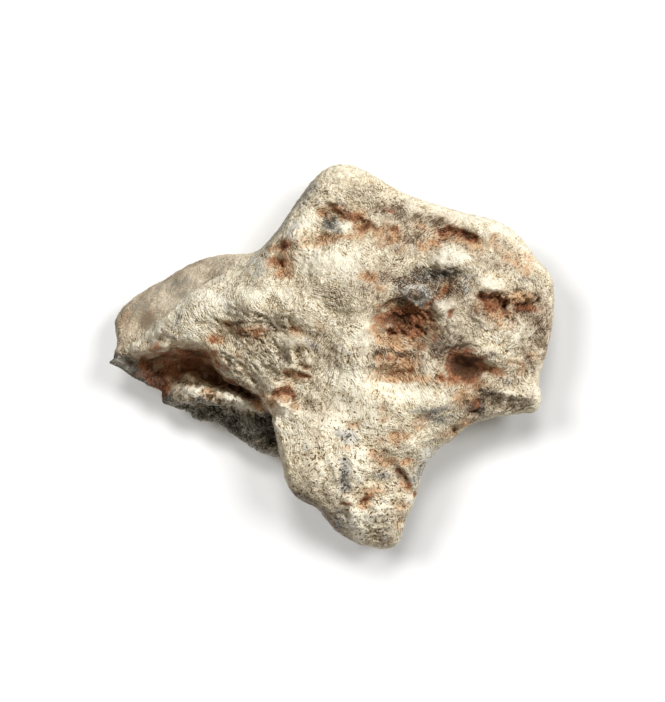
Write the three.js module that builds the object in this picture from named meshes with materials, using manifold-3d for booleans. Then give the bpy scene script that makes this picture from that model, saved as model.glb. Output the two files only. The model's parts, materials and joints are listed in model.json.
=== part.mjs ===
// A weathered lunar meteorite fragment, lying on its flattest side.
// Millimetres, +Z up. The origin is on the surface it rests on, under the middle of its box;
// +X runs from the thin left wing to the blunt right end, +Y from the lower tongue to the peak.
import * as THREE from "three";
import { mergeVertices } from "three/addons/utils/BufferGeometryUtils.js";
import { ImprovedNoise } from "three/addons/math/ImprovedNoise.js";
import Module from "manifold-3d";

// ---- driving dimensions ----
const LENGTH = 40.1; // along X, wing tip to right end
const WIDTH = 34.8; // along Y, tongue tip to peak
const HEIGHT = 17.4; // resting face to the highest lump
const BODY_DETAIL = 18; // subdivisions of the sphere behind the main body
const LEDGE_DETAIL = 7; // of the one behind the lower ledge
const PIT_DETAIL = 2; // and of those behind the pits
const CROWDING = 0.28; // how far a lump's vertices are crowded onto its upper face
const GRAIN_SIZE = 6.5; // wavelength of the surface's lumps
const UNDERSIDE_SIZE = 9; // and of those of the hidden underside
const PIT_GRAIN_SIZE = 2.2; // and of the pits' walls

// ---- the main body ----
// Its outline seen from above, anticlockwise from the right end: x, y, and the height where it is widest.
const BODY_OUTLINE = [
  [20.0, 4.6, 8.2],
  [19.8, 7.1, 8.6],
  [18.3, 8.8, 9.0],
  [16.6, 11.2, 9.4],
  [14.3, 12.4, 9.6],
  [12.0, 12.9, 9.4],
  [9.0, 13.8, 9.0],
  [6.2, 14.9, 8.6],
  [3.3, 16.6, 8.4],
  [1.4, 17.4, 8.2],
  [-0.4, 17.1, 8.0],
  [-1.9, 15.7, 7.8],
  [-3.6, 13.3, 7.6],
  [-5.3, 10.9, 7.4],
  [-7.1, 9.4, 6.6],
  [-9.5, 9.4, 5.4],
  [-12.2, 8.8, 4.8],
  [-15.4, 7.0, 4.4],
  [-18.3, 5.2, 4.6],
  [-19.7, 3.4, 5.4],
  [-19.4, 1.2, 7.2],
  [-20.0, -0.5, 8.8],
  [-18.2, -1.8, 7.8],
  [-16.4, -2.7, 6.4],
  [-15.0, -3.3, 5.4],
  [-12.4, -3.3, 5.0],
  [-8.8, -4.4, 5.2],
  [-6.2, -5.6, 5.8],
  [-4.9, -7.4, 6.6],
  [-4.5, -9.4, 7.2],
  [-4.0, -11.4, 7.4],
  [-3.1, -12.7, 7.2],
  [-1.5, -13.5, 6.8],
  [-0.4, -14.8, 6.4],
  [1.0, -16.2, 6.0],
  [2.9, -17.0, 5.8],
  [4.7, -17.4, 5.8],
  [5.7, -16.9, 6.2],
  [6.3, -15.5, 6.6],
  [7.3, -13.5, 7.0],
  [7.9, -11.8, 7.2],
  [8.3, -10.2, 7.4],
  [9.3, -8.6, 7.4],
  [10.9, -7.4, 7.2],
  [12.7, -6.1, 7.4],
  [15.4, -5.3, 7.6],
  [18.2, -5.1, 7.8],
  [18.9, -4.3, 7.8],
  [18.6, -2.2, 8.0],
  [19.4, 0.4, 8.0],
  [19.8, 2.4, 8.0],
];

// Spot heights of its upper face, as on a contour map: x, y, z.
const BODY_TOP = [
  [1.2, 15.6, 13.4], // peak
  [4.6, 14.0, 14.4],
  [8.4, 12.6, 15.0], // upper rim
  [13.4, 11.2, 15.2],
  [16.8, 9.0, 14.4],
  [18.8, 5.4, 13.2], // right end
  [18.6, 1.6, 13.0],
  [17.6, -2.6, 13.2],
  [14.6, -3.2, 13.4],
  [12.4, -4.2, 13.4],
  [8.6, -3.6, 15.4], // shelf under the pits
  [4.6, -4.4, 15.6],
  [12.4, 5.0, 16.2],
  [10.4, 2.4, 16.4], // bridge between the pits
  [15.6, 1.4, 15.0],
  [6.0, 8.6, 16.2],
  [2.6, 6.0, 17.0], // plateau
  [0.2, 7.6, 16.8],
  [2.0, 1.4, 16.6],
  [-1.6, 4.0, 16.4],
  [-2.4, 12.4, 14.0],
  [-4.6, 9.0, 14.2],
  [-6.8, 7.4, 13.6],
  [-8.2, 5.0, 14.4], // bulge of the wing
  [-6.0, 1.8, 13.6], // saddle
  [-2.6, 0.6, 15.2],
  [-9.2, 7.0, 13.0], // crest of the wing
  [-11.4, 5.2, 12.9],
  [-14.6, 3.0, 12.0],
  [-17.4, 1.0, 10.8],
  [-11.6, 8.0, 8.8], // its far slope
  [-14.6, 5.9, 8.2],
  [-17.8, 3.6, 7.4],
  [-15.6, 1.5, 11.7], // lip over the crevice
  [-13.2, 1.5, 12.4],
  [-11.0, 1.1, 13.0],
  [-9.5, -0.1, 13.3],
  [-7.9, -1.3, 13.6],
  [-6.2, -2.7, 13.8],
  [-5.0, -4.2, 13.8],
  [-18.2, -0.8, 8.8], // wall below the lip
  [-16.2, -0.5, 8.2],
  [-14.2, -0.6, 7.4],
  [-12.3, -0.9, 6.6],
  [-10.9, -1.9, 6.4],
  [-9.4, -3.0, 6.4],
  [-7.6, -4.2, 6.8],
  [-1.8, -6.0, 15.4], // tongue
  [-3.6, -9.4, 14.0],
  [-2.6, -11.8, 13.2],
  [1.4, -9.4, 15.2],
  [5.8, -7.4, 15.2],
  [9.4, -6.8, 13.0],
  [6.8, -10.6, 13.4],
  [0.6, -13.4, 13.4],
  [4.4, -12.8, 13.4],
  [3.8, -16.0, 12.4], // its tip
];

// Rounded swellings (height > 0) and hollows (height < 0) of the upper face:
// x, y, half-length, half-width, height, turn in degrees.
const RELIEF = [
  [6.4, 2.6, 3.6, 3.2, -1.6, 0], // dish round the big pit
  [7.7, 5.4, 1.5, 1.1, 1.3, 15], // clast on its rim
  [11.6, -0.8, 3.2, 2.2, -1.0, -15], // dish round the right pit
  [10.6, 10.6, 3.4, 1.5, -1.2, -15], // hollow under the upper rim
  [10.8, 8.5, 2.3, 1.4, 1.4, 0], // nose below it
  [15.6, 4.4, 3.2, 1.3, -0.9, 0], // trench
  [17.0, 5.8, 1.5, 1.0, 0.8, 10],
  [-4.6, 8.4, 1.4, 1.9, -1.1, 20],
  [-0.4, 11.8, 2.8, 1.7, -1.4, 15], // hollow round a small clast
  [-0.2, 11.5, 0.9, 1.1, 1.2, 20],
  [3.4, 10.6, 2.4, 1.1, -1.0, -25],
  [5.0, -2.0, 2.4, 1.3, -1.2, 0], // rough patch below the big pit
  [-9.2, 2.4, 1.8, 1.1, -0.8, -30],
  [-5.6, 2.2, 2.0, 1.0, -0.9, -10],
  [-3.4, 0.2, 1.9, 1.0, -0.6, -20],
  [-4.2, -3.7, 1.3, 1.1, -1.5, -30], // notch at the root of the tongue
  [18.2, -3.4, 1.5, 1.4, 0.9, 0], // right corner
];

// Pits with sharp rims: centre, half-sizes, turn in degrees.
const PITS = [
  { at: [6.3, 2.2, 15.4], size: [2.4, 1.7, 1.9], turn: 35 }, // the big one, two hollows run together
  { at: [5.6, 3.9, 15.2], size: [1.5, 1.3, 1.9], turn: 0 },
  { at: [11.8, -0.2, 14.4], size: [1.6, 1.4, 2.0], turn: 0 }, // the right one
  { at: [13.3, -0.8, 14.5], size: [1.5, 0.8, 1.2], turn: -15 },
  { at: [13.8, 4.8, 15.2], size: [1.1, 1.2, 1.9], turn: 0 }, // the head of the trench
  { at: [15.2, 4.5, 14.8], size: [1.3, 0.8, 1.1], turn: 10 },
  { at: [10.2, 11.0, 14.6], size: [2.4, 0.7, 1.2], turn: -14 }, // under the upper rim
];

// Cracks and furrows: half-width, depth, then the points that they run through.
const FURROWS = [
  [0.7, 0.9, [5.4, -7.4], [6.8, -9.2], [8.6, -11.0]],
  [0.6, 0.6, [-0.4, -13.4], [2.2, -12.0], [5.4, -10.4]],
  [0.6, 0.5, [-13.4, 3.6], [-11.2, 4.8], [-9.2, 6.4]],
];

// Old breaks that flatten its sides and underside: outward direction, distance from MIDDLE.
const MIDDLE = new THREE.Vector3(1.6, 1.1, 7);
const BREAKS = [
  [[0.8, -0.25, -0.55], 13.4],
  [[0.42, 0.6, -0.68], 10.9],
  [[-0.4, 0.66, -0.64], 11.0],
  [[-0.62, -0.1, -0.78], 12.8],
  [[-0.15, -0.8, -0.58], 14.0],
  [[0.5, -0.66, -0.56], 12.2],
  [[-0.3, -0.6, -0.74], 10.8],
];

// ---- the ledge under the lip ----
const LEDGE_OUTLINE = [
  [-3.2, -5.0, 5.0],
  [-6.4, -3.9, 5.0],
  [-9.0, -2.8, 5.0],
  [-12.0, -2.0, 5.0],
  [-14.4, -2.4, 5.2],
  [-15.6, -3.9, 5.4],
  [-14.6, -4.8, 5.0],
  [-13.1, -5.0, 4.8],
  [-12.2, -5.8, 4.6],
  [-10.4, -6.0, 4.4],
  [-8.6, -7.4, 4.2],
  [-6.6, -8.7, 4.2],
  [-4.6, -9.3, 4.6],
  [-2.6, -8.6, 5.0],
];
const LEDGE_TOP = [
  [-14.4, -3.6, 8.6],
  [-12.4, -3.4, 9.6],
  [-9.6, -4.4, 10.0],
  [-6.6, -5.8, 10.4],
  [-12.4, -4.9, 8.2],
  [-9.0, -6.2, 7.4],
  [-5.8, -7.8, 7.4],
];

const noise = new ImprovedNoise();

// Roughness of a broken face: three octaves of noise, from about -1 to 1.
function rough(x, y, z, wavelength) {
  let sum = 0;
  let scale = 1 / wavelength;
  let share = 0.9;
  for (let octave = 0; octave < 3; octave++) {
    sum += share * noise.noise(x * scale + 7.3, y * scale + 3.1, z * scale + 1.7);
    scale *= 2.1;
    share *= 0.45;
  }
  return sum;
}

// A height that passes smoothly near spot heights: each counts by the inverse fourth power of its distance.
function heightFrom(spots, softness) {
  return (x, y) => {
    let total = 0;
    let weights = 0;
    for (const [sx, sy, sz] of spots) {
      const weight = ((x - sx) ** 2 + (y - sy) ** 2 + softness ** 2) ** -2;
      total += weight * sz;
      weights += weight;
    }
    return total / weights;
  };
}

// The height that one swelling or hollow adds at a point.
function bump(x, y, [cx, cy, halfLength, halfWidth, height, turn]) {
  const a = THREE.MathUtils.degToRad(turn);
  const along = ((x - cx) * Math.cos(a) + (y - cy) * Math.sin(a)) / halfLength;
  const across = ((y - cy) * Math.cos(a) - (x - cx) * Math.sin(a)) / halfWidth;
  const d2 = along ** 2 + across ** 2;
  return d2 < 1 ? height * (1 - d2) ** 1.2 : 0;
}

// The depth, below zero, that one V-shaped furrow cuts at a point.
function furrow(x, y, [halfWidth, depth, ...points]) {
  const here = new THREE.Vector3(x, y, 0);
  const nearest = new THREE.Vector3();
  let distance = Infinity;
  for (let i = 1; i < points.length; i++) {
    const line = new THREE.Line3(
      new THREE.Vector3(...points[i - 1], 0),
      new THREE.Vector3(...points[i], 0),
    );
    line.closestPointToPoint(here, true, nearest);
    distance = Math.min(distance, nearest.distanceTo(here));
  }
  return distance < halfWidth ? -depth * (1 - distance / halfWidth) : 0;
}

// A closed outline as distances from a centre, looked up by direction.
function rimOf(points, centre) {
  const curve = new THREE.CatmullRomCurve3(
    points.map((p) => new THREE.Vector3(...p)),
    true,
    "centripetal",
  );
  const around = curve.getPoints(points.length * 12).map((p) => ({
    angle: Math.atan2(p.y - centre[1], p.x - centre[0]),
    reach: Math.hypot(p.x - centre[0], p.y - centre[1]),
    z: p.z,
  }));
  around.sort((a, b) => a.angle - b.angle);
  return (angle) => {
    const after = around.findIndex((p) => p.angle >= angle);
    const b = around[after < 0 ? 0 : after];
    const a = around[after <= 0 ? around.length - 1 : after - 1];
    const span = THREE.MathUtils.euclideanModulo(b.angle - a.angle, 2 * Math.PI) || 1;
    const t = THREE.MathUtils.euclideanModulo(angle - a.angle, 2 * Math.PI) / span;
    return {
      reach: THREE.MathUtils.lerp(a.reach, b.reach, t),
      z: THREE.MathUtils.lerp(a.z, b.z, t),
    };
  };
}

// A lump of stone: a sphere whose equator is pulled out to the outline, and whose
// two halves are pulled to the upper and the lower face.
function lump({ detail, outline, centre, top, bottom, squareness, breaks, grain }) {
  const geometry = new THREE.IcosahedronGeometry(1, detail);
  const rim = rimOf(outline, centre);
  const position = geometry.getAttribute("position");
  const dir = new THREE.Vector3();
  const p = new THREE.Vector3();
  for (let i = 0; i < position.count; i++) {
    dir.fromBufferAttribute(position, i).normalize();
    dir.z += CROWDING;
    dir.normalize();
    const { reach, z: rimZ } = rim(Math.atan2(dir.y, dir.x));
    const n = dir.z > 0 ? squareness.top : squareness.bottom;
    const k = (Math.hypot(dir.x, dir.y) ** n + Math.abs(dir.z) ** n) ** (-1 / n);
    p.set(centre[0] + reach * k * dir.x, centre[1] + reach * k * dir.y, 0);
    const face = dir.z > 0 ? top(p.x, p.y) : bottom(p.x, p.y);
    p.z = THREE.MathUtils.lerp(rimZ, face, k * Math.abs(dir.z));
    const under = THREE.MathUtils.clamp(-3 * dir.z, 0, 1); // 0 above the widest part, 1 well below it
    for (const [direction, distance] of breaks) {
      const normal = new THREE.Vector3(...direction).normalize();
      const over = p.clone().sub(MIDDLE).dot(normal) - distance;
      if (over > 0) p.addScaledVector(normal, -0.9 * over * under);
    }
    const swell = grain * rough(p.x, p.y, p.z, GRAIN_SIZE);
    const sideways = 0.25 + 1.4 * under; // little at the widest part, to keep the outline
    p.x += swell * dir.x * sideways;
    p.y += swell * dir.y * sideways;
    p.z += swell * dir.z;
    position.setXYZ(i, p.x, p.y, p.z);
  }
  return solidFrom(geometry);
}

const wasm = await Module();
wasm.setup();

// A closed three.js geometry as a solid that can be cut and joined.
function solidFrom(geometry) {
  geometry.deleteAttribute("normal");
  geometry.deleteAttribute("uv");
  const merged = mergeVertices(geometry, 1e-4);
  return new wasm.Manifold(
    new wasm.Mesh({
      numProp: 3,
      vertProperties: new Float32Array(merged.getAttribute("position").array),
      triVerts: new Uint32Array(merged.index.array),
    }),
  );
}

function geometryFrom(solid) {
  const { numProp, vertProperties, triVerts } = solid.getMesh();
  const interleaved = new THREE.InterleavedBuffer(vertProperties, numProp);
  const geometry = new THREE.BufferGeometry();
  geometry.setAttribute("position", new THREE.InterleavedBufferAttribute(interleaved, 3, 0));
  geometry.setIndex(new THREE.BufferAttribute(triVerts, 1));
  geometry.computeVertexNormals();
  return geometry;
}

function body() {
  const plain = heightFrom(BODY_TOP, 1);
  return lump({
    detail: BODY_DETAIL,
    outline: BODY_OUTLINE,
    centre: [MIDDLE.x, MIDDLE.y],
    top: (x, y) =>
      plain(x, y) +
      RELIEF.reduce((sum, spot) => sum + bump(x, y, spot), 0) +
      FURROWS.reduce((sum, line) => sum + furrow(x, y, line), 0),
    // A shallow rough bowl that dips below the ground in the middle.
    bottom: (x, y) => 0.01 * (x ** 2 + y ** 2) - 0.9 + 1.2 * rough(x, y, 0, UNDERSIDE_SIZE),
    squareness: { top: 3.6, bottom: 2.6 },
    breaks: BREAKS,
    grain: 0.5,
  });
}

function ledge() {
  return lump({
    detail: LEDGE_DETAIL,
    outline: LEDGE_OUTLINE,
    centre: [-9.0, -5.0],
    top: heightFrom(LEDGE_TOP, 0.8),
    bottom: () => 0.8,
    squareness: { top: 3, bottom: 2.4 },
    breaks: [],
    grain: 0.4,
  });
}

// What one pit takes away: a lumpy ellipsoid.
function pit({ at, size, turn }) {
  const geometry = new THREE.IcosahedronGeometry(1, PIT_DETAIL);
  geometry.scale(...size);
  geometry.rotateZ(THREE.MathUtils.degToRad(turn));
  geometry.translate(...at);
  const position = geometry.getAttribute("position");
  const p = new THREE.Vector3();
  const centre = new THREE.Vector3(...at);
  for (let i = 0; i < position.count; i++) {
    p.fromBufferAttribute(position, i).sub(centre);
    p.multiplyScalar(1 + 0.4 * rough(p.x + at[0], p.y + at[1], p.z, PIT_GRAIN_SIZE)).add(centre);
    position.setXYZ(i, p.x, p.y, p.z);
  }
  return solidFrom(geometry);
}

// Everything below the surface it lies on, cut away to leave the flat face it rests on.
function belowGround() {
  const box = new THREE.BoxGeometry(2 * LENGTH, 2 * WIDTH, HEIGHT);
  box.translate(0, 0, -HEIGHT / 2);
  return solidFrom(box);
}

// Trims a geometry to the overall sizes, standing on z = 0 with its middle over the origin.
function fitted(geometry) {
  geometry.computeBoundingBox();
  const { min, max } = geometry.boundingBox;
  geometry.translate(-(min.x + max.x) / 2, -(min.y + max.y) / 2, -min.z);
  geometry.scale(
    LENGTH / (max.x - min.x),
    WIDTH / (max.y - min.y),
    HEIGHT / (max.z - min.z),
  );
  return geometry;
}

let rock = body().add(ledge());
for (const place of PITS) rock = rock.subtract(pit(place));
rock = rock.subtract(belowGround());

const meteorite = new THREE.Mesh(
  fitted(geometryFrom(rock)),
  new THREE.MeshStandardMaterial({ color: 0xcfc2a4, roughness: 0.92, metalness: 0 }),
);
meteorite.name = "meteorite";

const part = new THREE.Group();
part.add(meteorite);
export default part;
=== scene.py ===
import json
import math

import bpy
import numpy as np
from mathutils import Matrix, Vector, noise

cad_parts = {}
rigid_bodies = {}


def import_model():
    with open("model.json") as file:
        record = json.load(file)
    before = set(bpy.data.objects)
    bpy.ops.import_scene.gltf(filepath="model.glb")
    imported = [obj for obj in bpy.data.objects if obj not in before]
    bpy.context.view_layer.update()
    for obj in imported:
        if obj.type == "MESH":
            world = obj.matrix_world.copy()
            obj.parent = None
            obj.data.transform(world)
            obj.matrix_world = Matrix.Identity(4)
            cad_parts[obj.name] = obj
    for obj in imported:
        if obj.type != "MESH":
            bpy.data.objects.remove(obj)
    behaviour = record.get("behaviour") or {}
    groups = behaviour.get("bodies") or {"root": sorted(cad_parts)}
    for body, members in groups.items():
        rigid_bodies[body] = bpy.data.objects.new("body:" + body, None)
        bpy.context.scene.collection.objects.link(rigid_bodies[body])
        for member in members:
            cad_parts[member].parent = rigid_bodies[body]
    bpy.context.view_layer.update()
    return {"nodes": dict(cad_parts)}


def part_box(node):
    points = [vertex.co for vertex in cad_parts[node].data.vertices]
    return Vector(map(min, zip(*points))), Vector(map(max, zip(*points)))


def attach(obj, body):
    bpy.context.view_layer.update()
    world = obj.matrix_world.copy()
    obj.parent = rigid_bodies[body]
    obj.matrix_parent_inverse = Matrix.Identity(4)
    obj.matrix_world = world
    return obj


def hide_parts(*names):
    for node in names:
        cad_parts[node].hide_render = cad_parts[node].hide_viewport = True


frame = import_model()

mm = 0.001


def deselectAll():
    bpy.ops.object.select_all(action="DESELECT")


# camera, floor and lights

studio = {
    "lens": 200,  # mm, long, as for a flat close-up
    "frameHeight": 63.2 * mm,  # what the long side of the view takes in
    "aim": (0.05 * mm, 0.54 * mm, 9 * mm),
    "clip": (0.01, 10),  # m, the nearest and the farthest that the camera sees
    # turn from +Y towards +X, height above the floor, power, how wide the light is in degrees, colour
    "keyLight": (50, 46, 4.2, 9, (1, 1, 1)),
    "warmFill": (0, 90, 0.75, 150, (1.0, 0.82, 0.6)),  # light off pale paper, warmed by the stone itself
    "floorLight": (-5, 71, 1.1, 12, (1, 1, 1)),
    "leftFloorLight": (-60, 67, 1.2, 13, (1, 1, 1)),
    "rightFloorLight": (62, 69, 1.1, 13, (1, 1, 1)),
    "floorFill": (0, 90, 0.1, 150, (1, 1, 1)),
    "fill": 0.1,
    "floorSize": 3,
    "floorGrey": 0.9,
    "floorRoughness": 0.9,
}


def addCamera():
    data = bpy.data.cameras.new("camera")
    data.lens = studio["lens"]
    camera = bpy.data.objects.new("camera", data)
    bpy.context.scene.collection.objects.link(camera)
    distance = data.lens * studio["frameHeight"] / data.sensor_width
    x, y, z = studio["aim"]
    camera.location = (x, y, z + distance)
    data.clip_start, data.clip_end = studio["clip"]
    bpy.context.scene.camera = camera


def addFloor():
    deselectAll()
    bpy.ops.mesh.primitive_plane_add(size=studio["floorSize"], location=(0, 0, 0))
    floor = bpy.context.active_object
    floor.name = "paleFloor"
    material = bpy.data.materials.new("palePaper")
    material.use_nodes = True
    shader = material.node_tree.nodes["Principled BSDF"]
    grey = studio["floorGrey"]
    shader.inputs["Base Color"].default_value = (grey, grey, grey, 1)
    shader.inputs["Roughness"].default_value = studio["floorRoughness"]
    floor.data.materials.append(material)
    return floor


def addSun(name, lit):  # a sun that lights one thing, so that the floor stays pale beside a sunlit stone
    turn, height, power, softness, colour = studio[name]
    data = bpy.data.lights.new(name, "SUN")
    data.energy = power
    data.angle = math.radians(softness)
    data.color = colour
    lamp = bpy.data.objects.new(name, data)
    bpy.context.scene.collection.objects.link(lamp)
    a = math.radians(turn)
    h = math.radians(height)
    towards = Vector((math.sin(a) * math.cos(h), math.cos(a) * math.cos(h), math.sin(h)))
    lamp.rotation_euler = towards.to_track_quat("Z", "Y").to_euler()
    group = bpy.data.collections.new(name + "Lit")
    group.objects.link(lit)
    lamp.light_linking.receiver_collection = group


def addStudio(stone):
    floor = addFloor()
    for name in ("floorLight", "leftFloorLight", "rightFloorLight", "floorFill"):
        addSun(name, floor)
    for name in ("keyLight", "warmFill"):
        addSun(name, stone)
    world = bpy.data.worlds.new("studioAir")
    world.use_nodes = True
    air = world.node_tree.nodes["Background"]
    air.inputs["Color"].default_value = (1, 1, 1, 1)
    air.inputs["Strength"].default_value = studio["fill"]
    bpy.context.scene.world = world
    bpy.context.scene.view_settings.view_transform = "Standard"
    print("studio: camera, floor and lights")


# the stone's shape: sizes in mm and turns in degrees, on the stone's own X and Y, seen from above

# brinks, with the flat ground on the left of each line
tongueBrink = [(-5.8, -4.2), (-5.4, -5.2), (-5.1, -6.2), (-4.85, -7.4), (-4.7, -8.6), (-4.4, -10.0),
               (-3.95, -11.2), (-3.3, -12.2), (-2.0, -13.0)]
slotBrink = [(-11.0, 0.9), (-10.6, -0.3), (-10.1, -1.2), (-9.6, -2.0), (-9.0, -2.35), (-8.0, -2.8),
             (-7.0, -3.2), (-6.0, -3.5), (-5.0, -3.7)]
# the worn far side of the wing is on the right of this one
wingRidge = [(-7.0, 8.8), (-9.0, 7.9), (-10.0, 7.3), (-11.0, 6.6), (-12.5, 6.0), (-13.3, 5.2), (-14.0, 4.4),
             (-15.0, 3.5), (-16.0, 2.8), (-17.0, 2.0), (-18.0, 1.2), (-19.4, 0.3)]
# cracks and seams that are both carved and stained
tongueEdge = [(-4.2, -11.0), (-3.6, -12.1), (-2.6, -12.9), (-1.3, -13.5), (-0.5, -14.4), (0.4, -15.6),
              (1.6, -16.5), (3.2, -17.0)]
tongueCrack = [(5.0, -9.0), (6.2, -10.5), (6.8, -11.2), (7.3, -12.0), (7.6, -12.7)]
tongueFurrow = [(1.1, -8.6), (1.0, -10.5), (1.3, -12.6)]
tipSeam = [(0.2, -13.4), (1.2, -13.1), (2.2, -12.9), (3.2, -12.5), (4.4, -12.1)]
rootSeam = [(-5.2, -3.4), (-4.7, -3.0), (-4.1, -2.9), (-3.5, -3.3), (-3.1, -4.0)]
peakGutter = [(-1.1, 14.1), (0.0, 13.6), (0.4, 13.1), (1.0, 12.6), (2.0, 12.3), (2.9, 11.9)]
rimGutter = [(2.7, 12.0), (3.8, 11.6), (5.0, 11.5), (6.2, 11.0)]
pitGutter = [(8.1, 4.6), (9.0, 5.3), (9.8, 5.8), (10.7, 6.1)]
bridgeCrack = [(10.9, 5.1), (11.0, 4.4), (10.6, 3.9), (10.1, 3.2)]
shelfCrack = [(9.5, -1.5), (9.8, -2.0), (10.7, -2.0)]
trenchSeam = [(13.2, 5.3), (14.2, 5.5), (15.5, 5.9)]
foldCrack = [(-4.3, -1.4), (-3.0, -1.6), (-1.9, -1.8)]
saddleCrack = [(-9.7, 2.9), (-9.0, 2.6), (-8.2, 2.9)]
wingCrack = [(-13.3, 4.3), (-13.7, 3.6), (-14.2, 2.7)]
# small folds of the crust, all alike
saddleFolds = [
    [(-10.8, 1.2), (-9.2, 0.3), (-7.6, -0.4)], [(-10.0, 0.2), (-8.6, -0.6), (-7.0, -1.2)],
    [(-8.8, 1.4), (-7.6, 0.7), (-6.2, 0.2)], [(-6.6, 1.6), (-5.8, 0.6), (-5.0, -0.1)],
    [(-8.6, -1.2), (-7.2, -1.6), (-6.0, -2.2)], [(-6.4, -0.6), (-5.2, -1.2), (-4.4, -2.0)],
]

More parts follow.
